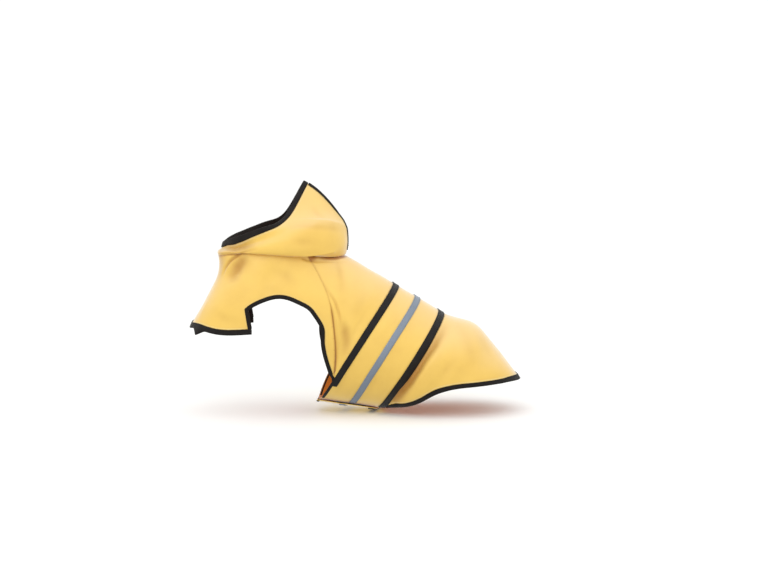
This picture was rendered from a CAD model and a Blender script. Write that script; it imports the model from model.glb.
import math
from collections import namedtuple
from functools import cache

import bmesh
import bpy
import numpy as np
from mathutils import Matrix, Vector, noise
from mathutils.bvhtree import BVHTree
from mathutils.kdtree import KDTree


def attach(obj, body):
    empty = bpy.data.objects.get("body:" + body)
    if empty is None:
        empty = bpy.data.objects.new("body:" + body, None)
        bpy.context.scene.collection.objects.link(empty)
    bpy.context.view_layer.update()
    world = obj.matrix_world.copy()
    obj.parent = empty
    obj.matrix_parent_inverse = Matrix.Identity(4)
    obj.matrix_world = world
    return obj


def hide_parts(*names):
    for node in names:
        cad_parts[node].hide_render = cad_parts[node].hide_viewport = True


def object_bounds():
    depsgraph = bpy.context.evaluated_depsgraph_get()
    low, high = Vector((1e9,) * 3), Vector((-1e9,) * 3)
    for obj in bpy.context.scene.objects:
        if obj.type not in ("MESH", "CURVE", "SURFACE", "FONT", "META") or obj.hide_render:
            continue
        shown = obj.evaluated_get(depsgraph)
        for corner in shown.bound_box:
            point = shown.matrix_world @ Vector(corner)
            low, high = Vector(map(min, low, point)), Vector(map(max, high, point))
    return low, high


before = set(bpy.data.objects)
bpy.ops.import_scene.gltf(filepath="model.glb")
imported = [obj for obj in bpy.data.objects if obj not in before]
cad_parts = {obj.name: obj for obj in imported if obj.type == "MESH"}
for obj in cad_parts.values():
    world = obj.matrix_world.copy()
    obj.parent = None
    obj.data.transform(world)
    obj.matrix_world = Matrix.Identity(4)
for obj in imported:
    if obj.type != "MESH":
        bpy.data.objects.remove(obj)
CAD_BOX = [list(corner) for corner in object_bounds()]

bl_info = {
    "name": "Dog Raincoat",
    "version": (1, 0, 0),
    "blender": (4, 5, 0),
    "location": "3D View > Sidebar > Raincoat",
    "description": "Dresses the dog raincoat's frame in coated cloth, bindings, ribbon, tape and stitching",
    "category": "Object",
}

MM = 0.001
BODY = "root"
SHARP = math.radians(50)


def linear(hex_colour):
    """Turn an sRGB hex colour into linear red, green and blue."""
    channels = [int(hex_colour[i : i + 2], 16) / 255 for i in (0, 2, 4)]
    return tuple(c / 12.92 if c <= 0.04045 else ((c + 0.055) / 1.055) ** 2.4 for c in channels)


def opaque(colour, strength=1.0):
    """A colour as a shader takes it, made darker or lighter by a strength."""
    return (*(min(1.0, strength * c) for c in colour), 1.0)


# ---------------------------------------------------------------- what a user may change


def length_property(name, description, millimetres, least=0.0):
    return bpy.props.FloatProperty(
        name=name,
        description=description,
        default=millimetres * MM,
        min=least * MM,
        unit="LENGTH",
        precision=5,
    )


class RaincoatSizes(bpy.types.PropertyGroup):
    cloth: length_property("Cloth", "Thickness of the coated cloth", 0.9)
    seam_depth: length_property("Seam depth", "How far the cloth turns in at a sewn seam", 1.0)
    seam_width: length_property("Seam width", "Width of the cloth that turns in beside a sewn seam", 3.0)
    softness: length_property("Softness", "Height of the slow waves in the worn cloth", 0.7)
    creases: bpy.props.FloatProperty(
        name="Creases",
        description="Depth of the creases, where 1 is as worn",
        default=1.0,
        min=0,
        subtype="FACTOR",
    )
    waver: length_property("Waver", "How far the crown binding wavers where it was eased on", 0.8)
    stitch_pitch: length_property("Stitch pitch", "From one stitch to the next", 3.2, 1.0)
    stitch_length: length_property("Stitch length", "Length of one stitch", 2.3)
    thread: length_property("Thread", "Thickness of the sewing thread", 0.45)


def colour_property(name, description, hex_colour):
    return bpy.props.FloatVectorProperty(
        name=name, description=description, default=linear(hex_colour), size=3, min=0, max=1, subtype="COLOR"
    )


class RaincoatColours(bpy.types.PropertyGroup):
    coat: colour_property("Coat", "Coated side of the cloth", "f2c85e")
    coat_deep: colour_property("Coat in folds", "Coated side where it is folded", "bd8a34")
    coat_sewn: colour_property("Coat at seams", "Coated side where it is sewn down or tucked under", "a5620c")
    coat_faded: colour_property("Coat on top", "Coated side where sun and rain have faded it", "e9c88e")
    coat_rubbed: colour_property("Coat at edges", "Coated side, rubbed pale beside a bound edge", "ffedb8")
    inside: colour_property("Inside", "Uncoated side of the cloth", "e88c18")
    binding: colour_property("Binding", "Woven tape folded over the edges", "1b1613")
    ribbon: colour_property("Ribbon", "Woven ribbon beside the reflective tape", "191615")
    tape: colour_property("Tape", "Reflective tape", "808a98")
    closure: colour_property("Closure", "Hook-and-loop closure", "211f1e")
    floor: colour_property("Floor", "Floor of the stage and the light round it", "fafaf9")


# ---------------------------------------------------------------- materials


WAVE_REPEAT = math.pi / 10  # a wave texture of scale 1 repeats at this distance
# a Mix node's sockets for colours share their names with those for numbers, so they are found by place
OF_COLOURS = {"data_type": "RGBA"}
SHARE, FIRST, SECOND, MIXED = 0, 6, 7, 2


def add_node(tree, kind, values=None):
    """Add a node. A socket is linked to the input it is named for, and any other value is set there."""
    added = tree.nodes.new(kind)
    for name, value in (values or {}).items():
        if isinstance(value, bpy.types.NodeSocket):
            tree.links.new(value, added.inputs[name])
        elif isinstance(name, str) and hasattr(added, name):
            setattr(added, name, value)
        else:
            added.inputs[name].default_value = value
    return added


def new_material(name):
    """Start a node material: the material, its emptied tree, and the place on the piece."""
    material = bpy.data.materials.new(name)
    material.use_nodes = True
    tree = material.node_tree
    tree.nodes.clear()
    return material, tree, add_node(tree, "ShaderNodeTexCoord").outputs["Object"]


def close_material(tree, values):
    """End a material in its surface shader and output."""
    shader = add_node(tree, "ShaderNodeBsdfPrincipled", values)
    add_node(tree, "ShaderNodeOutputMaterial", {"Surface": shader.outputs["BSDF"]})


def woven(tree, uv, pitch):
    """Height of a plain weave whose threads lie a pitch apart along the piece's own two directions."""
    threads = []
    for way in "XY":
        values = {"wave_type": "BANDS", "bands_direction": way, "Scale": WAVE_REPEAT / pitch, "Vector": uv}
        threads.append(add_node(tree, "ShaderNodeTexWave", values).outputs["Fac"])
    crossed = {"operation": "MULTIPLY", 0: threads[0], 1: threads[1]}
    return add_node(tree, "ShaderNodeMath", crossed).outputs[0]


def coated_cloth(colours):
    """Polyester taffeta, a polyurethane coat rolled on: smooth, softly glossy, saturated where it folds."""
    material, tree, place = new_material("polyurethane_coated_taffeta")
    uv = add_node(tree, "ShaderNodeUVMap", {"uv_map": "cloth"}).outputs["UV"]
    blotches = add_node(
        tree, "ShaderNodeTexNoise", {"Scale": 22.0, "Detail": 3.0, "Roughness": 0.55, "Vector": place}
    ).outputs["Fac"]
    speckle = add_node(
        tree, "ShaderNodeTexNoise", {"Scale": 420.0, "Detail": 2.0, "Roughness": 0.6, "Vector": place}
    ).outputs["Fac"]
    spread = add_node(
        tree, "ShaderNodeMapRange", {"From Min": 0.35, "From Max": 0.7, "To Max": 0.16, "Value": blotches}
    ).outputs["Result"]
    shares = {
        name: add_node(tree, "ShaderNodeAttribute", {"attribute_name": name}).outputs["Fac"]
        for name in ("faded", "folded", "sewn_down", "rubbed")
    }
    patches = add_node(
        tree, "ShaderNodeMapRange", {"From Min": 0.3, "From Max": 0.6, "To Min": 0.55, "Value": speckle}
    ).outputs["Result"]
    rubbed = add_node(tree, "ShaderNodeMath", {"operation": "MULTIPLY", 0: shares["rubbed"], 1: patches})
    colour = opaque(colours.coat)
    for share, tint in (
        (spread, colours.coat_deep),
        (shares["faded"], colours.coat_faded),
        (shares["folded"], colours.coat_deep),
        (shares["sewn_down"], colours.coat_sewn),
        (rubbed.outputs[0], colours.coat_rubbed),
    ):
        values = {**OF_COLOURS, SHARE: share, FIRST: colour, SECOND: opaque(tint)}
        colour = add_node(tree, "ShaderNodeMix", values).outputs[MIXED]
    # threads of the base cloth are 0.2 mm apart, drawn at 0.9 mm so that they show
    weave = woven(tree, uv, 0.9 * MM)
    ripple = add_node(
        tree, "ShaderNodeTexNoise", {"Scale": 75.0, "Detail": 4.0, "Roughness": 0.5, "Vector": place}
    ).outputs["Fac"]
    thread_bump = add_node(tree, "ShaderNodeBump", {"Strength": 0.12, "Distance": 0.12 * MM, "Height": weave})
    under = thread_bump.outputs["Normal"]
    cloth_bump = add_node(
        tree, "ShaderNodeBump", {"Strength": 0.35, "Distance": 0.5 * MM, "Height": ripple, "Normal": under}
    )
    rough = add_node(
        tree,
        "ShaderNodeMapRange",
        {"From Min": 0.3, "From Max": 0.7, "To Min": 0.42, "To Max": 0.56, "Value": speckle},
    ).outputs["Result"]
    finish = {"Coat Weight": 0.15, "Coat Roughness": 0.45, "Sheen Weight": 0.9, "Sheen Roughness": 0.35}
    finish |= {"Base Color": colour, "Roughness": rough, "Normal": cloth_bump.outputs["Normal"]}
    close_material(tree, {"IOR": 1.5, **finish})
    return material


def cloth_back(colours):
    """The same taffeta's uncoated side, plain woven: matt, deep orange, its threads open to the eye."""
    material, tree, place = new_material("uncoated_taffeta_back")
    uv = add_node(tree, "ShaderNodeUVMap", {"uv_map": "cloth"}).outputs["UV"]
    weave = woven(tree, uv, 0.9 * MM)
    blotches = add_node(tree, "ShaderNodeTexNoise", {"Scale": 30.0, "Detail": 3.0, "Vector": place}).outputs["Fac"]
    spread = add_node(
        tree, "ShaderNodeMapRange", {"From Min": 0.3, "From Max": 0.7, "To Max": 0.3, "Value": blotches}
    ).outputs["Result"]
    tints = {FIRST: opaque(colours.inside), SECOND: opaque(colours.inside, 0.8)}
    blotched = add_node(tree, "ShaderNodeMix", {**OF_COLOURS, SHARE: spread, **tints}).outputs[MIXED]
    tints = {FIRST: opaque(colours.inside, 0.82), SECOND: blotched}
    colour = add_node(tree, "ShaderNodeMix", {**OF_COLOURS, SHARE: weave, **tints}).outputs[MIXED]
    bump = add_node(tree, "ShaderNodeBump", {"Strength": 0.4, "Distance": 0.2 * MM, "Height": weave})
    finish = {"Roughness": 0.85, "IOR": 1.5, "Sheen Weight": 0.25, "Sheen Roughness": 0.5}
    close_material(tree, {**finish, "Base Color": colour, "Normal": bump.outputs["Normal"]})
    return material


def ribbed_tape(name, colour, rib, gloss):
    """Woven polyester grosgrain: ribs straight across it, dull between them and faintly lit on top."""
    material, tree, place = new_material(name)
    uv = add_node(tree, "ShaderNodeUVMap", {"uv_map": "strip"}).outputs["UV"]
    values = {"wave_type": "BANDS", "bands_direction": "X", "Scale": WAVE_REPEAT / rib, "Vector": uv}
    ribs = add_node(tree, "ShaderNodeTexWave", values).outputs["Fac"]
    fuzz = add_node(
        tree, "ShaderNodeTexNoise", {"Scale": 900.0, "Detail": 2.0, "Roughness": 0.6, "Vector": place}
    ).outputs["Fac"]
    worn = add_node(tree, "ShaderNodeTexNoise", {"Scale": 60.0, "Detail": 3.0, "Vector": place}).outputs["Fac"]
    light = tuple(min(1.0, 1.9 * c + 0.012) for c in colour)
    tone = add_node(
        tree, "ShaderNodeMapRange", {"From Min": 0.35, "From Max": 0.75, "To Max": 0.6, "Value": worn}
    ).outputs["Result"]
    tints = {FIRST: opaque(colour), SECOND: opaque(light)}
    tops = add_node(tree, "ShaderNodeMix", {**OF_COLOURS, SHARE: tone, **tints}).outputs[MIXED]
    tints = {FIRST: opaque(colour, 0.6), SECOND: tops}
    ribbed = add_node(tree, "ShaderNodeMix", {**OF_COLOURS, SHARE: ribs, **tints}).outputs[MIXED]
    fuzz_bump = add_node(tree, "ShaderNodeBump", {"Strength": 0.3, "Distance": 0.15 * MM, "Height": fuzz})
    under = fuzz_bump.outputs["Normal"]
    rib_bump = add_node(
        tree, "ShaderNodeBump", {"Strength": 0.7, "Distance": 0.25 * MM, "Height": ribs, "Normal": under}
    )
    finish = {"Roughness": gloss, "IOR": 1.45, "Specular IOR Level": 0.3}
    finish |= {"Sheen Weight": 0.08, "Sheen Roughness": 0.4}
    close_material(tree, {**finish, "Base Color": ribbed, "Normal": rib_bump.outputs["Normal"]})
    return material


def beaded_tape(colours):
    """Reflective tape of glass beads on aluminised film, heat-set on cloth: grey, with a fine glitter."""
    material, tree, place = new_material("glass_bead_reflective_tape")
    uv = add_node(tree, "ShaderNodeUVMap", {"uv_map": "strip"}).outputs["UV"]
    # beads are 0.06 mm across, drawn in clumps of about 0.8 mm
    beads = add_node(
        tree, "ShaderNodeTexVoronoi", {"feature": "F1", "Scale": 1250.0, "Vector": place}
    ).outputs["Distance"]
    worn = add_node(
        tree, "ShaderNodeTexNoise", {"Scale": 45.0, "Detail": 4.0, "Roughness": 0.6, "Vector": place}
    ).outputs["Fac"]
    base_cloth = woven(tree, uv, 0.8 * MM)
    tone = add_node(
        tree, "ShaderNodeMapRange", {"From Min": 0.3, "From Max": 0.7, "To Max": 0.5, "Value": worn}
    ).outputs["Result"]
    tints = {FIRST: opaque(colours.tape), SECOND: opaque(colours.tape, 0.72)}
    film = add_node(tree, "ShaderNodeMix", {**OF_COLOURS, SHARE: tone, **tints}).outputs[MIXED]
    tints = {FIRST: opaque(colours.tape, 1.15), SECOND: film}
    colour = add_node(tree, "ShaderNodeMix", {**OF_COLOURS, SHARE: beads, **tints}).outputs[MIXED]
    rough = add_node(
        tree, "ShaderNodeMapRange", {"To Min": 0.3, "To Max": 0.5, "Value": beads}
    ).outputs["Result"]
    fine = add_node(tree, "ShaderNodeBump", {"Strength": 0.25, "Distance": 0.1 * MM, "Height": beads})
    under = fine.outputs["Normal"]
    bump = add_node(
        tree, "ShaderNodeBump", {"Strength": 0.3, "Distance": 0.15 * MM, "Height": base_cloth, "Normal": under}
    )
    finish = {"Metallic": 0.35, "Roughness": rough}
    close_material(tree, {**finish, "Base Color": colour, "Normal": bump.outputs["Normal"]})
    return material


def hook_and_loop(colours):
    """Nylon hook-and-loop closure: a dull, dense nap that takes no highlight."""
    material, tree, place = new_material("nylon_hook_and_loop")
    nap = add_node(
        tree, "ShaderNodeTexVoronoi", {"feature": "F1", "Scale": 900.0, "Randomness": 0.6, "Vector": place}
    ).outputs["Distance"]
    tints = {FIRST: opaque(colours.closure, 1.6), SECOND: opaque(colours.closure)}
    colour = add_node(tree, "ShaderNodeMix", {**OF_COLOURS, SHARE: nap, **tints}).outputs[MIXED]
    bump = add_node(tree, "ShaderNodeBump", {"Strength": 0.8, "Distance": 0.5 * MM, "Height": nap})
    finish = {"Roughness": 0.95, "Sheen Weight": 0.5, "Sheen Roughness": 0.5}
    close_material(tree, {**finish, "Base Color": colour, "Normal": bump.outputs["Normal"]})
    return material


def sewing_thread(name, colour):
    """Twisted polyester thread: fine slanting plies with a slight shine."""
    material, tree, place = new_material(name)
    values = {"bands_direction": "DIAGONAL", "Scale": 320.0, "Distortion": 1.0, "Vector": place}
    ply = add_node(tree, "ShaderNodeTexWave", values).outputs["Fac"]
    tints = {FIRST: opaque(colour, 0.7), SECOND: opaque(colour)}
    tone = add_node(tree, "ShaderNodeMix", {**OF_COLOURS, SHARE: ply, **tints}).outputs[MIXED]
    bump = add_node(tree, "ShaderNodeBump", {"Strength": 0.5, "Distance": 0.1 * MM, "Height": ply})
    finish = {"Roughness": 0.75, "Specular IOR Level": 0.3}
    close_material(tree, {**finish, "Base Color": tone, "Normal": bump.outputs["Normal"]})
    return material


def studio_floor(colours):
    """Matt painted board: pale and even, with a faint roller grain."""
    material, tree, place = new_material("matt_painted_board")
    grain = add_node(tree, "ShaderNodeTexNoise", {"Scale": 400.0, "Detail": 2.0, "Vector": place}).outputs["Fac"]
    bump = add_node(tree, "ShaderNodeBump", {"Strength": 0.05, "Distance": 0.2 * MM, "Height": grain})
    finish = {"Base Color": opaque(colours.floor), "Roughness": 0.9, "Specular IOR Level": 0.2}
    close_material(tree, {**finish, "Normal": bump.outputs["Normal"]})
    return material


MAKERS = {
    "coat": coated_cloth,
    "inside": cloth_back,
    "binding": lambda colours: ribbed_tape("polyester_grosgrain_binding", colours.binding, 0.9 * MM, 0.8),
    "ribbon": lambda colours: ribbed_tape("polyester_grosgrain_ribbon", colours.ribbon, 0.8 * MM, 0.6),
    "tape": beaded_tape,
    "closure": hook_and_loop,
    "black_thread": lambda colours: sewing_thread("black_polyester_thread", opaque(colours.binding, 1.2)[:3]),
    "grey_thread": lambda colours: sewing_thread("grey_polyester_thread", colours.tape),
    "floor": studio_floor,
}


@cache
def material_of(name):
    """Make a material the first time it is asked for."""
    return MAKERS[name](bpy.context.scene.raincoat_colours)


# ---------------------------------------------------------------- creases in the worn cloth

Crease = namedtuple("Crease", "path depths width left right tone upright", defaults=(1.0, False))

# Points in mm on the wearer's left side. The depths are at even shares of the path, and a trough is negative.
# left and right scale them on each side, and tone is how much darker than its depth a trough looks. An upright
# one lifts the cloth instead of pushing it in or out.
CREASES = (
    # the fold that runs down from the neck seam at the throat, and the hollow it ends in
    Crease(
        ((-153.4, -67.6, 23.5), (-164.7, -62.6, 21.0), (-174.5, -57.8, 18.5), (-186.1, -47.2, 11.4),
         (-197.7, -42.3, 1.3), (-205.2, -37.7, -10.5), (-208.5, -38.0, -24.5)),
        (-0.4, -1.4, -2.6, -3.6, -3.4, -2.2, 0.0), 3.0, 1.0, 0.7, 1.6,
    ),
    Crease(
        ((-166.0, -58.2, 13.1), (-177.7, -54.1, 2.0), (-184.0, -51.4, -8.6), (-189.6, -50.5, -19.5),
         (-188.1, -59.6, -34.9)),
        (0.0, -4.4, -5.4, -3.2, 0.0), 11.0, 1.0, 0.8, 1.1,
    ),
    Crease(
        ((-211.0, -20.0, 14.0), (-211.0, -22.0, 0.0), (-213.0, -24.0, -16.0), (-220.0, -24.0, -36.0)),
        (-0.4, -0.5, -0.4, 0.0), 14.0, 1.0, 0.8, 6.0,
    ),
    # the hood and the bib drawn in together at the throat
    Crease(
        ((-216.0, -2.0, 22.0), (-203.0, -26.0, 23.0), (-188.0, -43.0, 24.5), (-171.0, -54.0, 27.0),
         (-152.0, -63.4, 31.0)),
        (-1.4, -2.8, -3.4, -2.8, 0.0), 9.0, 1.0, 1.0, 1.2,
    ),
    # the hood's edge held up under the chin
    Crease(
        ((-215.0, -4.0, 31.0), (-203.0, -28.0, 34.0), (-186.0, -44.0, 38.0), (-163.0, -58.0, 46.0),
         (-142.0, -64.0, 54.0), (-122.0, -64.0, 64.0)),
        (1.4, 3.4, 4.0, 3.6, 2.2, 0.0), 12.0, 1.0, 1.0, 0.0, True,
    ),
    # the bib and back tucked up under the hood's lower edge, deepest where the raglan seam starts
    Crease(
        ((-86.0, -71.0, 13.5), (-76.3, -62.0, 8.3), (-68.2, -57.3, 4.0), (-56.9, -55.2, 2.2), (-40.6, -49.6, 1.6),
         (-24.2, -42.5, 0.0), (-8.0, -33.0, -1.5)),
        (0.0, -2.0, -2.6, -1.8, -1.2, -1.0, -0.2), 2.2, 1.0, 0.8,
    ),
    # the hood's fold round the back of the neck, a soft ridge with a hollow below it
    Crease(
        ((-112.0, -56.2, 66.5), (-82.4, -53.1, 69.5), (-53.4, -50.0, 68.5), (-27.0, -33.2, 64.0),
         (-11.8, -12.9, 59.0)),
        (0.0, 1.3, 1.7, 1.5, 0.6), 4.5, 1.0, 0.9,
    ),
    Crease(
        ((-112.0, -60.0, 55.0), (-84.0, -60.0, 57.0), (-55.0, -57.0, 57.0), (-28.0, -40.0, 53.5),
         (-12.0, -16.0, 49.0)),
        (0.0, -0.9, -1.5, -1.3, -0.4), 6.0, 1.0, 1.1,
    ),
    Crease(((-100.0, -72.0, 36.0), (-82.7, -71.7, 35.0), (-56.9, -65.8, 31.5)), (0.0, -1.1, 0.0), 7.0, 1.0, 0.6),
    Crease(((-58.0, -40.0, 104.0), (-46.0, -47.0, 88.0), (-44.0, -52.0, 72.0)), (0.0, -1.0, 0.0), 6.5, 1.0, 0.7),
    # folds that run from the neck seam towards the shoulder
    Crease(((-134.3, -67.4, -7.1), (-107.1, -69.0, -18.4), (-83.1, -73.4, -42.4)), (0, -1.0, 0), 8.0, 1.0, 1.3),
    Crease(((-144.1, -72.1, -29.2), (-128.1, -72.8, -35.7), (-108.8, -74.3, -40.5)), (0, 0.8, 0), 7.0, 1.0, 0.6),
    # pulls beside the raglan seam, behind the leg opening
    Crease(
        ((-45.0, -67.0, -31.0), (-36.4, -70.9, -46.1), (-27.4, -73.7, -60.0), (-20.5, -77.9, -81.1),
         (-14.2, -81.1, -108.0)),
        (0.0, -1.4, -2.4, -2.0, 0.0), 2.2, 1.0, 0.7,
    ),
    Crease(
        ((-38.0, -72.0, -50.0), (-28.5, -76.0, -72.0), (-22.5, -79.0, -96.0), (-19.5, -80.0, -122.0)),
        (0.0, 1.6, 1.4, 0.0), 2.6, 1.0, 0.6,
    ),
    Crease(
        ((-17.4, -80.2, -90.0), (-11.0, -80.2, -106.0), (-9.0, -81.2, -127.0), (-12.7, -80.0, -152.0)),
        (0.0, -2.8, -2.2, 0.0), 7.5, 1.0, 0.8, 1.4,
    ),
    Crease(
        ((-28.0, -78.6, -86.0), (-23.9, -80.2, -110.0), (-23.1, -79.5, -132.9), (-25.0, -76.6, -158.0),
         (-27.0, -73.0, -175.0)),
        (0.0, -1.0, -1.4, -1.2, -0.4), 3.0, 1.0, 0.8,
    ),
    Crease(
        ((-24.0, -38.0, 2.0), (-17.5, -52.3, -15.6), (-15.1, -62.0, -34.2), (-17.0, -70.1, -56.0)),
        (-0.8, -1.5, -0.9, 0.0), 6.0, 1.0, 0.8,
    ),
    # slack on the back, between the raglan seam and the front ribbon
    Crease(((6.0, -34.0, -10.5), (3.0, -61.0, -38.0), (4.0, -73.8, -69.0)), (0, 0.9, 0), 8.0, 1.0, 1.4),
    Crease(((23.8, -60.9, -47.5), (10.2, -75.4, -78.4), (-4.0, -79.0, -104.0)), (0, -0.8, 0), 9.0, 1.0, 0.7),
    Crease(((-3.0, -79.0, -118.0), (-14.0, -79.5, -140.0), (-22.0, -77.0, -165.0)), (0, 0.9, 0), 5.0, 1.0, 0.8),
    # the band under tension
    Crease(
        ((33.4, -64.2, -60.3), (16.6, -77.4, -87.9), (0.3, -81.2, -116.6), (-14.3, -80.4, -142.6)),
        (0, -0.7, -0.6, 0), 5.0, 1, 1,
    ),
    Crease(((74.0, -56.0, -70.0), (56.0, -73.7, -98.0), (39.0, -81.3, -126.0)), (0, 0.6, 0), 6.0, 1.0, 0.5),
    Crease(((0.2, -81.1, -155.7), (-11.0, -74.1, -182.8), (-21.9, -55.8, -211.9)), (0, -1.0, -0.4), 6.0, 1.0, 1.2),
    Crease(((52.0, -79.0, -170.0), (34.0, -72.0, -198.0), (24.0, -56.0, -222.0)), (0, -0.9, -0.3), 6.5, 1.0, 0.9),
    # the rump part pulled in behind the rear ribbon
    Crease(
        ((158.0, -40.0, -101.0), (145.0, -63.6, -115.0), (132.4, -75.7, -132.9), (119.5, -80.6, -149.0),
         (105.0, -82.7, -170.9), (92.0, -79.3, -191.0), (79.5, -71.0, -210.3), (68.6, -55.8, -229.2)),
        (0.0, -1.4, -3.4, -4.4, -5.6, -6.4, -6.6, -4.0), 8.5, 1.0, 0.85, 1.5,
    ),
    Crease(
        ((150.0, -71.0, -124.0), (137.5, -84.5, -145.0), (122.7, -88.7, -165.0), (108.3, -87.0, -185.0),
         (95.7, -81.0, -205.0)),
        (0.0, 1.4, 1.8, 1.6, 0.0), 7.0, 1.0, 0.7,
    ),
    # slanting waves that die out towards the rear hem
    Crease(
        ((171.3, -32.8, -101.0), (186.4, -65.0, -124.0), (194.0, -80.0, -150.0), (190.0, -88.0, -176.0)),
        (0.0, -0.6, -0.7, 0.0), 10.0, 1.0, 0.8,
    ),
    Crease(((207.9, -45.9, -119.4), (221.7, -57.1, -144.3), (231.0, -69.6, -172.0)), (0, -0.5, 0), 9.0, 1.0, 1.2),
    Crease(((198.0, -40.0, -112.0), (208.0, -66.0, -142.0), (214.0, -78.0, -176.0)), (0, 0.6, 0), 9.0, 1.0, 1.0),
    Crease(((166.0, -84.0, -150.0), (152.0, -90.0, -172.0), (142.0, -88.0, -196.0)), (0, -0.9, 0), 7.0, 1.0, 0.8),
    # low on the bib, above its hem
    Crease(((-225.4, -53.5, -76.2), (-203.9, -71.3, -90.0), (-179.7, -78.7, -96.0)), (0, -0.8, 0), 8.0, 1.0, 1.2),
    Crease(((-236.0, -30.0, -60.0), (-240.0, -36.0, -78.0), (-247.0, -38.0, -94.0)), (0, 0.8, 0), 7.0, 1.0, 0.8),
)
SIDE_SHIFT = Vector((3.0, 0.0, -2.0))  # the far side's creases don't mirror the near side's exactly
WAVES = ((0.055, 1.0), (0.024, 0.4))  # wavelength in metres, and share of the softness

# ---------------------------------------------------------------- the pieces, and where they meet

PANELS = ("front_panel", "back_panel", "girth_band", "rump_panel", "hood_left", "hood_right")
HOOD = ("hood_left", "hood_right")
ARMS = ("arm_binding_left", "arm_binding_right")
TRIMS_BY_EDGE = (
    "hood_edge_binding",
    "bib_hem_binding",
    "arm_binding_left",
    "arm_binding_right",
    "rump_hem_binding",
    "crown_binding",
)
COVERS = ("ribbon_front", "ribbon_rear", "crown_binding")  # trims that lie over a seam and hide it
PANEL_LEVELS = 3
TRIM_LEVELS = 2
CRISPNESS = 0.6  # of a trim's folded edges
WAVER_LENGTH = 14 * MM
WAVER_LEAN = 0.3  # how far, as a share of its waver, the binding stands off on the whole

MIDDLE_LOW, MIDDLE_HIGH = -0.09, -0.03  # heights of the coat's middle line, below and above the withers
SEAM_GAP = 2.5 * MM  # panels whose edges are nearer than this are sewn together
SEAM_PULL = 0.49  # how far over the gap between them each edge is drawn
SEAM_ENDS = (-0.165, -0.150)  # in front of these the throat's folds hide the seams
LEG_DEPTHS = (0.060, 0.085)  # below these, behind the leg, the seams are drawn in hardest
FAINT_SEAM = 0.3
COVER_FADE = (2.0 * MM, 5.0 * MM)  # from a trim that covers a seam to where the seam shows whole
OFF_CLOTH = 0.6 * MM
TUCK = 4 * MM  # how far above a place the hood's edge still darkens it
POCKET = 12 * MM  # how far from the hood the pocket under its edge stays dark, where it is deepest
POCKET_ENDS = (-0.068, -0.052)  # from where the pocket is deepest to where it is half as deep
POCKET_SHARPNESS = 2.4

RUB_REACH = 12 * MM
RUB_START, RUB_MIDDLE, RUB_WIDTH = 0.6 * MM, 1.2 * MM, 1.1 * MM  # of the pale line beside a bound edge
RUB_BY_LEG, RUB_BY_HEM = 0.15, 0.4
LEG_REACH = 6 * MM
FOLD_TINT = 0.17  # for each mm of a trough
DEEP_TINT, DEEP_START = 0.12, 5.0  # for each mm past the start, in mm
FADE_START, FADE_SPAN, FADE_MOST = 0.15, 0.7, 0.62  # by how far up the cloth faces

FRONT_END = -0.15  # in front of this a leg opening's binding is eased down to the bib's hem
HEM_EASE_TOP, HEM_EASE_SPAN = 0.085, 0.02
HEM_REACH = 1.8 * MM  # from the end of a leg opening's binding to the bib's hem
INSET = 1.3 * MM  # from a strip's edge to its row of stitches
STEP_AHEAD = 0.5 * MM
BELLY_LAP_END = 31.2 * MM  # how far past the middle the band's outer end laps, towards the left
UNDER_LAP = 1.8 * MM  # from the outer end to where the binding below it stops
EDGE_WIDTH = 5.2 * MM
EDGE_THICKNESS = 2.2 * MM
EDGE_OVER = 0.5 * MM  # how far the belly's edge bindings reach past the cloth
STITCHED_BINDINGS = {
    "hood_binding_stitches": ("hood_edge_binding", "crown_binding"),
    "front_binding_stitches": ("bib_hem_binding", "arm_binding_left", "arm_binding_right"),
    "rump_binding_stitches": ("rump_hem_binding",),
}


def outer_skin(node):
    """Copy a CAD node, split it at its sharp edges and keep the larger skin, the one that faces out."""
    bm = bmesh.new()
    bm.from_mesh(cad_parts[node].data)
    bmesh.ops.remove_doubles(bm, verts=bm.verts, dist=0.001 * MM)
    sharp = [e for e in bm.edges if e.calc_face_angle(0) > SHARP]
    bmesh.ops.split_edges(bm, edges=sharp)
    skins = []
    left = set(bm.faces)
    while left:
        skin = {left.pop()}
        ring = list(skin)
        while ring:
            near = {f for e in ring.pop().edges for f in e.link_faces} & left
            left -= near
            skin |= near
            ring += near
        skins.append(skin)
    largest = max(skins, key=lambda skin: sum(f.calc_area() for f in skin))
    bmesh.ops.delete(bm, geom=[f for f in bm.faces if f not in largest], context="FACES")
    return bm


def quads(bm):
    """Join a bmesh's triangles back into four-sided faces."""
    bmesh.ops.join_triangles(
        bm, faces=bm.faces, angle_face_threshold=math.radians(60), angle_shape_threshold=math.radians(130)
    )


def smooth_mesh(bm, name, levels):
    """Turn a bmesh into a mesh with its faces divided and rounded."""
    mesh = bpy.data.meshes.new(name)
    bm.to_mesh(mesh)
    bm.free()
    coarse = bpy.data.objects.new("coarse_copy", mesh)
    bpy.context.scene.collection.objects.link(coarse)
    rounding = coarse.modifiers.new("Rounding", "SUBSURF")
    rounding.levels = rounding.render_levels = levels
    rounding.boundary_smooth = "PRESERVE_CORNERS"
    graph = bpy.context.evaluated_depsgraph_get()
    fine = bpy.data.meshes.new_from_object(coarse.evaluated_get(graph), depsgraph=graph)
    fine.name = name
    bpy.data.objects.remove(coarse)
    bpy.data.meshes.remove(mesh)
    return fine


def vertex_array(mesh, what="co"):
    values = np.empty(len(mesh.vertices) * 3)
    mesh.vertices.foreach_get(what, values)
    return values.reshape(-1, 3)


@cache
def fine_skin(node):
    """The smooth outer skin of a panel, kept for the panels and trims that meet it."""
    bm = outer_skin(node)
    quads(bm)
    return smooth_mesh(bm, node + "_skin", PANEL_LEVELS)


def mesh_tree(mesh):
    bm = bmesh.new()
    bm.from_mesh(mesh)
    tree = BVHTree.FromBMesh(bm)
    bm.free()
    return tree


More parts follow.
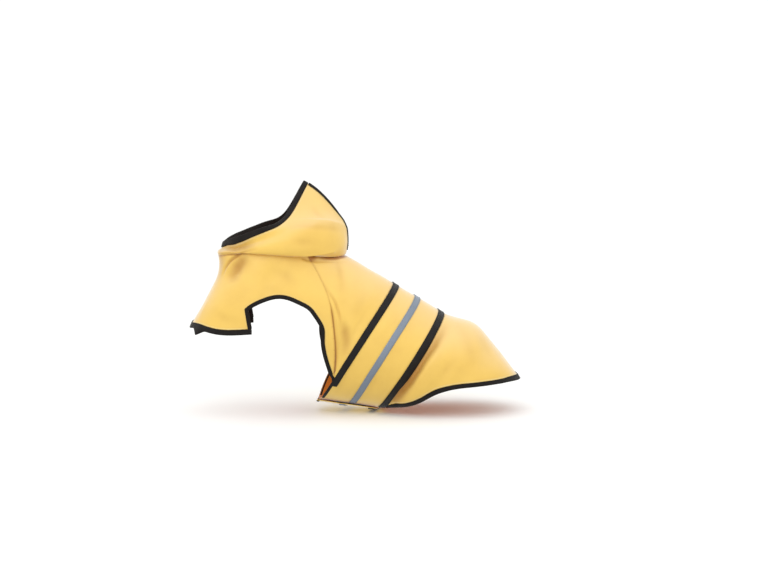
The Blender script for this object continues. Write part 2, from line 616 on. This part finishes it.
@cache
def tree_of(node):
    """A search tree over a CAD node's mesh."""
    return mesh_tree(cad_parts[node].data)


@cache
def skin_tree(node):
    """A search tree over a panel's smooth outer skin."""
    return mesh_tree(fine_skin(node))


def on_cloth(point):
    """The nearest point on any panel, and the way out of the coat there."""
    found = min((tree_of(node).find_nearest(point) for node in PANELS), key=lambda hit: hit[3])
    place, normal = found[0], found[1]
    return place, normal if normal.dot(outward(place)) > 0 else -normal


def outward(place):
    """The way from the coat's middle line to a place on it."""
    middle = Vector((place.x, 0.0, MIDDLE_LOW if place.z < 0 else MIDDLE_HIGH))
    return (place - middle).normalized()


@cache
def crease_strokes():
    """The creases of both sides, laid on the cloth."""
    strokes = []
    for crease in CREASES:
        for side, scale in ((1, crease.left), (-1, crease.right)):
            shift = Vector() if side > 0 else SIDE_SHIFT
            points, ways = [], []
            for spot in crease.path:
                spot = Vector(spot) + shift
                place, way = on_cloth(Vector((spot.x, side * spot.y, spot.z)) * MM)
                points.append(place)
                ways.append(Vector((0, 0, 1)) if crease.upright else way)
            depths = np.array(crease.depths) * scale * MM
            strokes.append((np.array(points), np.array(ways), depths, crease.width * MM, crease.tone))
    return strokes


def beside(path, points):
    """How far along a path each point lies, how far from it, and how far along its own points are."""
    lengths = np.linalg.norm(np.diff(path, axis=0), axis=1)
    starts = np.concatenate([[0], np.cumsum(lengths)])
    nearest = np.full(len(points), np.inf)
    along = np.zeros(len(points))
    for i, length in enumerate(lengths):
        part = (path[i + 1] - path[i]) / length
        t = np.clip((points - path[i]) @ part, 0, length)
        gap = np.linalg.norm(points - path[i] - t[:, None] * part, axis=1)
        nearer = gap < nearest
        nearest[nearer] = gap[nearer]
        along[nearer] = starts[i] + t[nearer]
    return along, nearest, starts


def pushed(points):
    """How far the creases and slow waves move each point, and how deep in a trough it lies."""
    sizes = bpy.context.scene.raincoat_sizes
    move = np.zeros_like(points)
    trough = np.zeros(len(points))
    for path, ways, depths, width, tone in crease_strokes():
        along, gap, starts = beside(path, points)
        depth = np.interp(along / starts[-1], np.linspace(0, 1, len(depths)), depths)
        size = depth * sizes.creases * np.exp(-((gap / width) ** 2))
        way = np.stack([np.interp(along, starts, ways[:, k]) for k in range(3)], axis=1)
        move += size[:, None] * way
        trough = np.maximum(trough, -size * tone)
    for i, point in enumerate(points):
        place = Vector(point)
        wave = sum(share * noise.noise(place / length) for length, share in WAVES)
        move[i] += np.array(outward(place)) * wave * sizes.softness
    return move, trough


def give_attribute(mesh, name, values):
    layer = mesh.attributes.new(name, "FLOAT", "POINT")
    layer.data.foreach_set("value", np.ascontiguousarray(values, dtype=np.float32))


def boundary_points(mesh):
    """Points along a mesh's open edges."""
    bm = bmesh.new()
    bm.from_mesh(mesh)
    points = [v.co.copy() for v in bm.verts if v.is_boundary]
    bm.free()
    return points


def cloth_uv(mesh):
    """Unwrap a panel round the wearer: across is along the back, up is the way round it."""
    across = 0.09
    layer = mesh.uv_layers.new(name="cloth")
    turn = [math.atan2(v.co.y, v.co.z + across) for v in mesh.vertices]
    for face in mesh.polygons:
        angles = [turn[mesh.loops[i].vertex_index] for i in face.loop_indices]
        wrap = 2 * math.pi if max(angles) - min(angles) > math.pi else 0
        for i, angle in zip(face.loop_indices, angles):
            co = mesh.vertices[mesh.loops[i].vertex_index].co
            layer.data[i].uv = (co.x, (angle + (wrap if angle < 0 else 0)) * across)


def strip_uv(mesh, sides):
    """Unwrap a strip by the way along its long side and the distance from it."""
    layer = mesh.uv_layers.new(name="strip")
    along, gap, _ = beside(sides[0].points, vertex_array(mesh))
    corners = np.empty(len(mesh.loops), dtype=np.int32)
    mesh.loops.foreach_get("vertex_index", corners)
    layer.data.foreach_set("uv", np.stack([along, gap], axis=1)[corners].ravel())


Side = namedtuple("Side", "points inward")


def long_sides(bm):
    """The two long edges of a strip of four-sided faces: their points, and the way in from each."""
    corners = {v for v in bm.verts if v.is_boundary and len(v.link_faces) == 1}
    sides = []
    for start in corners:
        for edge in (e for e in start.link_edges if e.is_boundary):
            side, at, step = [start], start, edge
            while step:
                at = step.other_vert(at)
                side.append(at)
                if at in corners:
                    break
                step = next((e for e in at.link_edges if e.is_boundary and e != step), None)
            sides.append(side)
    sides.sort(key=lambda side: -sum((b.co - a.co).length for a, b in zip(side, side[1:])))
    chosen = sides[0], sides[2] if len(sides) > 2 else sides[-1]
    return [Side(np.array([v.co for v in side]), np.array(ways_in(side))) for side in chosen]


def ways_in(side):
    """The way from each point of a strip's side to the points next to it inside the strip."""
    ways = []
    for v in side:
        inner = [e.other_vert(v).co - v.co for e in v.link_edges if not e.is_boundary]
        ways.append(sum(inner, Vector()).normalized() if inner else None)
    return [way or ways[1 if i == 0 else i - 1] for i, way in enumerate(ways)]


def place_piece(mesh, name, replaced=None):
    """Put a finished mesh in the scene, on the coat's body."""
    for face in mesh.polygons:
        face.use_smooth = True
    obj = bpy.data.objects.new(name, mesh)
    bpy.context.scene.collection.objects.link(obj)
    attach(obj, BODY)
    if replaced:
        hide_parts(replaced)
    return obj


def eased(value, start, end):
    """Go smoothly from 0 at the start to 1 at the end."""
    share = min(1.0, max(0.0, (value - start) / (end - start)))
    return share * share * (3 - 2 * share)


def nearest_of(nodes, place, reach):
    """The distance from a place to the nearest of some nodes, or the reach where none is nearer."""
    hits = (tree_of(node).find_nearest(place, reach) for node in nodes)
    return min((hit[3] for hit in hits if hit[0]), default=reach)


def seam_points(node, mesh):
    """Points along a panel's edge where another panel is sewn on, and the way to the seam's middle."""
    others = [skin_tree(other) for other in PANELS if other != node]
    places, pulls = [], []
    for place in boundary_points(mesh):
        near = min((tree.find_nearest(place) for tree in others), key=lambda hit: hit[3])
        if near[3] < SEAM_GAP:
            places.append(place)
            pulls.append((near[0] - place) * SEAM_PULL)
    return places, pulls


def seam_strength(place):
    """How strongly a seam shows: not in the folds at the throat, and most behind the leg."""
    cover = nearest_of(COVERS, place, COVER_FADE[1])
    shown = eased(place.x, *SEAM_ENDS) * eased(cover, *COVER_FADE)
    return shown * (FAINT_SEAM + (1 - FAINT_SEAM) * eased(-place.z, *LEG_DEPTHS))


def tucked(place, node):
    """How far a place is tucked up under the hood, or lies in the pocket below it, behind the seam."""
    start = place + outward(place) * OFF_CLOTH
    hits = (tree_of(node).ray_cast(start, Vector((0, 0, 1)), TUCK) for node in HOOD)
    above = min((hit[3] for hit in hits if hit[0]), default=TUCK)
    if node != "back_panel":
        return 1 - above / TUCK
    near = 1 - nearest_of(HOOD, place, POCKET) / (POCKET * (1 - 0.5 * eased(place.x, *POCKET_ENDS)))
    return max(1 - above / TUCK, min(1.0, POCKET_SHARPNESS * near))


def rubbed_at(place):
    """How pale a place is rubbed beside a bound edge."""
    edge = nearest_of(TRIMS_BY_EDGE, place, RUB_REACH)
    if edge <= RUB_START:
        return 0.0
    most = RUB_BY_LEG if nearest_of(ARMS, place, LEG_REACH) < LEG_REACH else RUB_BY_HEM
    return most * math.exp(-(((edge - RUB_MIDDLE) / RUB_WIDTH) ** 2))


def turned_in(node, mesh, points):
    """How far each point turns in at a sewn seam, and how the seam draws it over the gap."""
    width = bpy.context.scene.raincoat_sizes.seam_width
    places, pulls = seam_points(node, mesh)
    seam_tree = KDTree(len(places))
    for i, place in enumerate(places):
        seam_tree.insert(place, i)
    seam_tree.balance()
    turned = np.zeros(len(points))
    drawn = np.zeros_like(points)
    for i, point in enumerate(points):
        place = Vector(point)
        _, index, gap = seam_tree.find(place)
        if gap < width:
            nearness = 1 - gap / width
            turned[i] = nearness * seam_strength(place)
            drawn[i] = np.array(pulls[index]) * nearness**0.5
    return turned, drawn


def give_wear(node, mesh, points, normals, turned, trough):
    """Write down how rubbed, sewn down, folded and faded the cloth is at each point."""
    places = [Vector(point) for point in points]
    rubbed = np.array([rubbed_at(place) for place in places]) * (1 - turned)
    shaded = np.zeros(len(points))
    if node in ("front_panel", "back_panel"):
        shaded[:] = [tucked(place, node) for place in places]
    deepest = np.clip(DEEP_TINT * (trough / MM - DEEP_START), 0, 0.6)
    rise = np.clip((normals[:, 2] - FADE_START) / FADE_SPAN, 0, 1)
    give_attribute(mesh, "rubbed", rubbed)
    give_attribute(mesh, "sewn_down", np.clip(0.8 * turned + shaded + deepest, 0, 0.9))
    give_attribute(mesh, "folded", np.clip(FOLD_TINT * trough / MM, 0, 0.85))
    give_attribute(mesh, "faded", FADE_MOST * rise**2 * (3 - 2 * rise))


def make_panel(node):
    """Make one cut panel: its skin with creases, seams turned in, and the cloth's thickness inwards."""
    sizes = bpy.context.scene.raincoat_sizes
    mesh = fine_skin(node).copy()
    mesh.name = node + "_cloth"
    points = vertex_array(mesh)
    normals = vertex_array(mesh, "normal")
    move, trough = pushed(points)
    turned, drawn = turned_in(node, mesh, points)
    move += drawn - normals * (turned**1.5 * sizes.seam_depth)[:, None]
    mesh.vertices.foreach_set("co", (points + move).ravel())
    give_wear(node, mesh, points, normals, turned, trough)
    cloth_uv(mesh)
    mesh.materials.append(material_of("coat"))
    mesh.materials.append(material_of("inside"))
    obj = place_piece(mesh, node + "_cloth", node)
    wall = obj.modifiers.new("Cloth", "SOLIDIFY")
    wall.thickness = sizes.cloth
    wall.offset = -1.0
    wall.material_offset = 1
    return obj


def to_hem(points):
    """Ease the front ends of the leg openings' bindings down to the bib's hem."""
    down = np.clip((-points[:, 2] - HEM_EASE_TOP) / HEM_EASE_SPAN, 0, 1)
    points[:, 2] -= np.where(points[:, 0] < FRONT_END, HEM_REACH * down, 0.0)


def make_trim(node, name, material, waver=0.0):
    """Make one strip of trim from its node, its corners softened, lying in the same creases."""
    skin = outer_skin(node)
    quads(skin)
    sides = long_sides(skin)
    skin.free()
    bm = bmesh.new()
    bm.from_mesh(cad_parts[node].data)
    bmesh.ops.remove_doubles(bm, verts=bm.verts, dist=0.001 * MM)
    quads(bm)
    crispness = bm.edges.layers.float.new("crease_edge")
    for edge in bm.edges:
        if edge.calc_face_angle(0) > SHARP:
            edge[crispness] = CRISPNESS
    mesh = smooth_mesh(bm, name, TRIM_LEVELS)
    strip_uv(mesh, sides)
    points = vertex_array(mesh)
    moved = points + pushed(points)[0]
    if node in ARMS:
        to_hem(moved)
    if waver:
        for i, point in enumerate(points):
            place = Vector(point)
            moved[i] += np.array(outward(place)) * (WAVER_LEAN + noise.noise(place / WAVER_LENGTH)) * waver
    mesh.vertices.foreach_set("co", moved.ravel())
    mesh.materials.append(material_of(material))
    return place_piece(mesh, name, node)


def stitch_places(node, side, inset):
    """Where one row of stitches lies, along a strip's long side and a little way in from it."""
    sizes = bpy.context.scene.raincoat_sizes
    tree = tree_of(node)
    row = side.points + side.inward * inset
    steps = np.concatenate([[0], np.cumsum(np.linalg.norm(np.diff(row, axis=0), axis=1))])
    count = int(steps[-1] / sizes.stitch_pitch)
    spots = (np.arange(count) + 0.5) * steps[-1] / count
    places = np.stack([np.interp(spots, steps, row[:, k]) for k in range(3)], axis=1)
    ahead = np.stack([np.interp(spots + STEP_AHEAD, steps, row[:, k]) for k in range(3)], axis=1)
    placed = []
    for place, step, shift in zip(places, ahead, pushed(places)[0]):
        on_top, normal, _, _ = tree.find_nearest(Vector(place))
        up = normal if normal.dot(outward(on_top)) > 0 else -normal
        along = (Vector(step) - Vector(place)).normalized()
        across = up.cross(along).normalized()
        turn = Matrix((along, across, along.cross(across))).transposed().to_4x4()
        placed.append(Matrix.Translation(on_top + Vector(shift)) @ turn)
    return placed


def joined_copies(small, placed, name):
    """Join a copy of a small mesh at each place into one mesh."""
    points = vertex_array(small)
    faces = [tuple(face.vertices) for face in small.polygons]
    turned = [points @ np.array(place.to_3x3()).T + np.array(place.translation) for place in placed]
    corners = [tuple(i + k * len(points) for i in face) for k in range(len(placed)) for face in faces]
    mesh = bpy.data.meshes.new(name)
    mesh.from_pydata(np.concatenate(turned), [], corners)
    return mesh


def make_stitches(nodes, name, thread):
    """Sew both long sides of each strip, as one joined piece."""
    sizes = bpy.context.scene.raincoat_sizes
    bm = bmesh.new()
    shape = Matrix.Diagonal((sizes.stitch_length / 2, sizes.thread / 2, sizes.thread / 2, 1.0))
    bmesh.ops.create_uvsphere(bm, u_segments=6, v_segments=4, radius=1.0, matrix=shape)
    one = bpy.data.meshes.new("one_stitch")
    bm.to_mesh(one)
    bm.free()
    placed = []
    for node in nodes:
        skin = outer_skin(node)
        quads(skin)
        for side in long_sides(skin):
            placed += stitch_places(node, side, INSET)
        skin.free()
    mesh = joined_copies(one, placed, name)
    bpy.data.meshes.remove(one)
    mesh.materials.append(material_of(thread))
    return place_piece(mesh, name)


def band_edge(side):
    """The middle line of the binding on the girth band's open front edge, and the way out of the cloth."""
    bm = bmesh.new()
    bm.from_mesh(fine_skin("girth_band"))
    bm.normal_update()
    start = Vector((-29.9, 69.0 * side, -189.7)) * MM
    at = min((v for v in bm.verts if v.is_boundary), key=lambda v: (v.co - start).length)
    end = -BELLY_LAP_END if side > 0 else -BELLY_LAP_END - UNDER_LAP
    path, ways, seen = [], [], {at}
    while at.co.y * side > end * side:
        path.append(at.co.copy())
        ways.append(at.normal.copy())
        near = [v for e in at.link_edges if e.is_boundary and (v := e.other_vert(at)) not in seen]
        at = min(near, key=lambda v: v.co.z if len(path) == 1 else 0)
        seen.add(at)
    bm.free()
    arm = Vector((-33.7, 72.2 * side, -180.8)) * MM
    corner = Vector((-30.2, 71.0 * side, -186.6)) * MM
    middles = [arm + Vector((-1.0, 0.2 * side, 4.0)) * MM, arm, corner]
    normals = [ways[0]] * 3
    for i in range(2, len(path) - 1, 2):
        ahead = path[i + 1] - path[i - 1]
        inward = ahead.cross(ways[i]).normalized()
        middles.append(path[i] + inward * math.copysign(EDGE_WIDTH / 2 - EDGE_OVER, inward.x))
        normals.append(ways[i])
    return middles, normals


def make_band_edge(side, name):
    """Fold a binding over the girth band's open front edge."""
    middles, normals = band_edge(side)
    path = [middle + Vector(shift) for middle, shift in zip(middles, pushed(np.array(middles))[0])]
    bm = bmesh.new()
    ring = bmesh.ops.create_circle(bm, cap_ends=True, segments=12, radius=1.0)["verts"]
    last = Matrix()
    edges = list(bm.edges)
    for i, (place, normal) in enumerate(zip(path, normals)):
        ahead = (path[min(i + 1, len(path) - 1)] - path[max(i - 1, 0)]).normalized()
        up = (normal - ahead * normal.dot(ahead)).normalized()
        turn = Matrix((ahead.cross(up), up, ahead)).transposed().to_4x4()
        here = Matrix.Translation(place) @ turn @ Matrix.Diagonal((EDGE_WIDTH / 2, EDGE_THICKNESS / 2, 1.0, 1.0))
        if i:
            made = bmesh.ops.extrude_edge_only(bm, edges=edges)["geom"]
            ring = [v for v in made if isinstance(v, bmesh.types.BMVert)]
            edges = [e for e in made if isinstance(e, bmesh.types.BMEdge) and all(v in ring for v in e.verts)]
        bmesh.ops.transform(bm, matrix=here @ last.inverted(), verts=ring)
        last = here
    bmesh.ops.edgeloop_fill(bm, edges=edges)
    bmesh.ops.recalc_face_normals(bm, faces=bm.faces)
    mesh = bpy.data.meshes.new(name)
    bm.to_mesh(mesh)
    bm.free()
    strip_uv(mesh, [Side(np.array(path), None)])
    mesh.materials.append(material_of("binding"))
    return place_piece(mesh, name)


# ---------------------------------------------------------------- operators


class RAINCOAT_OT_bindings(bpy.types.Operator):
    """Fold the black binding over every raw edge and the hood's crown seam"""

    bl_idname = "raincoat.bindings"
    bl_label = "Bindings"

    def execute(self, context):
        for node in TRIMS_BY_EDGE:
            waver = context.scene.raincoat_sizes.waver if node == "crown_binding" else 0.0
            make_trim(node, node + "_woven", "binding", waver)
        make_band_edge(-1, "belly_edge_binding_left")
        make_band_edge(1, "belly_edge_binding_right")
        return {"FINISHED"}


class RAINCOAT_OT_ribbons(bpy.types.Operator):
    """Lay the two black ribbons and the reflective tape on the girth band"""

    bl_idname = "raincoat.ribbons"
    bl_label = "Ribbons and tape"

    def execute(self, context):
        make_trim("ribbon_front", "ribbon_front_woven", "ribbon")
        make_trim("ribbon_rear", "ribbon_rear_woven", "ribbon")
        make_trim("reflective_tape", "reflective_tape_beaded", "tape")
        return {"FINISHED"}


class RAINCOAT_OT_closure(bpy.types.Operator):
    """Set the hook-and-loop pads between the band's lapped ends"""

    bl_idname = "raincoat.closure"
    bl_label = "Closure"

    def execute(self, context):
        make_trim("belly_hook_pad", "belly_hook_pad_napped", "closure")
        make_trim("belly_loop_pad", "belly_loop_pad_napped", "closure")
        return {"FINISHED"}


class RAINCOAT_OT_stitches(bpy.types.Operator):
    """Sew the rows of stitches along the bindings, ribbons and tape"""

    bl_idname = "raincoat.stitches"
    bl_label = "Stitches"

    def execute(self, context):
        for name, nodes in STITCHED_BINDINGS.items():
            make_stitches(nodes, name, "black_thread")
        make_stitches(("ribbon_front", "ribbon_rear"), "ribbon_stitches", "black_thread")
        make_stitches(("reflective_tape",), "tape_stitches", "grey_thread")
        return {"FINISHED"}


class RAINCOAT_OT_hood(bpy.types.Operator):
    """Shape the two halves of the hood, worn pushed back"""

    bl_idname = "raincoat.hood"
    bl_label = "Hood"

    def execute(self, context):
        left = make_panel("hood_left")
        right = make_panel("hood_right")
        return {"FINISHED"}


class RAINCOAT_OT_front_panel(bpy.types.Operator):
    """Shape the bib and shoulders, cut in one piece"""

    bl_idname = "raincoat.front_panel"
    bl_label = "Bib and shoulders"

    def execute(self, context):
        trims = [node + "_woven" for node in TRIMS_BY_EDGE if node.startswith(("bib", "arm"))]
        trims.append("front_binding_stitches")
        obj = make_panel("front_panel")
        return {"FINISHED"}


class RAINCOAT_OT_back_panel(bpy.types.Operator):
    """Shape the upper back, between the raglan seams and the front ribbon"""

    bl_idname = "raincoat.back_panel"
    bl_label = "Upper back"

    def execute(self, context):
        make_panel("back_panel")
        return {"FINISHED"}


class RAINCOAT_OT_girth_band(bpy.types.Operator):
    """Shape the band round the body, its ends lapped under the belly"""

    bl_idname = "raincoat.girth_band"
    bl_label = "Girth band"

    def execute(self, context):
        trims = ["ribbon_front_woven", "ribbon_rear_woven", "reflective_tape_beaded", "ribbon_stitches"]
        trims += ["tape_stitches", "belly_hook_pad_napped", "belly_loop_pad_napped"]
        trims += ["belly_edge_binding_left", "belly_edge_binding_right"]
        obj = make_panel("girth_band")
        return {"FINISHED"}


class RAINCOAT_OT_rump_panel(bpy.types.Operator):
    """Shape the rear part, down to its curved hem"""

    bl_idname = "raincoat.rump_panel"
    bl_label = "Rump"

    def execute(self, context):
        obj = make_panel("rump_panel")
        return {"FINISHED"}


UNDER_COAT = 1.0 * MM  # from the coat's lowest point down to the floor
FLOOR_RADIUS = 30.0
# name, place and size in metres, and power in watts
SOFTBOXES = (
    ("top_softbox", (0.0, -0.9, 2.2), 2.4, 8.0),
    ("front_softbox", (-0.8, -2.4, 1.2), 2.0, 12.0),
)
LIT_SPOT = Vector((0, 0, -0.1))
AZIMUTH, ELEVATION = math.radians(-3), math.radians(6)
AIM_ACROSS, AIM_UP = 56.1 * MM, -47.0 * MM
DISTANCE = 3.0
LENS = 85.23  # mm


class RAINCOAT_OT_stage(bpy.types.Operator):
    """Set up the floor, the soft light and the camera"""

    bl_idname = "raincoat.stage"
    bl_label = "Stage"

    def execute(self, context):
        scene = context.scene
        colours = scene.raincoat_colours
        bm = bmesh.new()
        level = Matrix.Translation((0.0, 0.0, CAD_BOX[0][2] - UNDER_COAT))
        bmesh.ops.create_circle(bm, cap_ends=True, segments=96, radius=FLOOR_RADIUS, matrix=level)
        mesh = bpy.data.meshes.new("studio_floor")
        bm.to_mesh(mesh)
        bm.free()
        mesh.materials.append(material_of("floor"))
        floor = bpy.data.objects.new("studio_floor", mesh)
        floor.visible_diffuse = floor.visible_glossy = False  # the coat's underside stays shaded
        scene.collection.objects.link(floor)

        world = bpy.data.worlds.new("soft_white_studio")
        world.use_nodes = True
        tree = world.node_tree
        way = add_node(tree, "ShaderNodeTexCoord").outputs["Generated"]
        height = add_node(tree, "ShaderNodeSeparateXYZ", {"Vector": way}).outputs["Z"]
        strength = add_node(
            tree,
            "ShaderNodeMapRange",
            {
                "interpolation_type": "SMOOTHSTEP",
                "From Min": -0.5,
                "From Max": 0.05,
                "To Min": 0.7,
                "To Max": 1.14,
                "Value": height,
            },
        ).outputs["Result"]
        background = tree.nodes["Background"]
        background.inputs["Color"].default_value = opaque(colours.floor)
        tree.links.new(strength, background.inputs["Strength"])
        scene.world = world
        for name, place, size, power in SOFTBOXES:
            lamp = bpy.data.lights.new(name, "AREA")
            lamp.shape = "SQUARE"
            lamp.size = size
            lamp.energy = power
            obj = bpy.data.objects.new(name, lamp)
            obj.location = place
            obj.rotation_euler = (LIT_SPOT - Vector(place)).to_track_quat("-Z", "Y").to_euler()
            scene.collection.objects.link(obj)

        level_back = Vector((math.sin(AZIMUTH), -math.cos(AZIMUTH), 0.0))
        back = level_back * math.cos(ELEVATION) + Vector((0.0, 0.0, math.sin(ELEVATION)))
        side = Vector((math.cos(AZIMUTH), math.sin(AZIMUTH), 0.0))
        upright = back.cross(side)
        aim = side * AIM_ACROSS + upright * AIM_UP
        lens = bpy.data.cameras.new("side_camera")
        lens.sensor_width = 36.0
        lens.lens = LENS
        lens.clip_end = 100.0
        camera = bpy.data.objects.new("side_camera", lens)
        camera.location = aim + back * DISTANCE
        camera.rotation_euler = Matrix((side, upright, back)).transposed().to_euler()
        scene.collection.objects.link(camera)
        scene.camera = camera
        scene.view_settings.view_transform = "Standard"
        return {"FINISHED"}


OPERATORS = (
    RAINCOAT_OT_stage,
    RAINCOAT_OT_bindings,
    RAINCOAT_OT_ribbons,
    RAINCOAT_OT_closure,
    RAINCOAT_OT_stitches,
    RAINCOAT_OT_hood,
    RAINCOAT_OT_front_panel,
    RAINCOAT_OT_back_panel,
    RAINCOAT_OT_girth_band,
    RAINCOAT_OT_rump_panel,
)


class RAINCOAT_PT_panel(bpy.types.Panel):
    """The coat's sizes, colours and steps"""

    bl_idname = "RAINCOAT_PT_panel"
    bl_label = "Dog Raincoat"
    bl_space_type = "VIEW_3D"
    bl_region_type = "UI"
    bl_category = "Raincoat"

    def draw(self, context):
        for group in (context.scene.raincoat_sizes, context.scene.raincoat_colours):
            column = self.layout.column(align=True)
            for name in group.__annotations__:
                column.prop(group, name)
        for operator in OPERATORS:
            self.layout.operator(operator.bl_idname)


CLASSES = (RaincoatSizes, RaincoatColours, *OPERATORS, RAINCOAT_PT_panel)


def register():
    for cls in CLASSES:
        bpy.utils.register_class(cls)
    bpy.types.Scene.raincoat_sizes = bpy.props.PointerProperty(type=RaincoatSizes)
    bpy.types.Scene.raincoat_colours = bpy.props.PointerProperty(type=RaincoatColours)


def unregister():
    del bpy.types.Scene.raincoat_colours
    del bpy.types.Scene.raincoat_sizes
    for cls in reversed(CLASSES):
        bpy.utils.unregister_class(cls)


def main():
    """Make the coat and its stage."""
    register()
    bpy.ops.raincoat.stage()
    bpy.ops.raincoat.bindings()
    bpy.ops.raincoat.ribbons()
    bpy.ops.raincoat.closure()
    bpy.ops.raincoat.stitches()
    bpy.ops.raincoat.hood()
    bpy.ops.raincoat.front_panel()
    bpy.ops.raincoat.back_panel()
    bpy.ops.raincoat.girth_band()
    bpy.ops.raincoat.rump_panel()


if __name__ == "__main__":
    main()
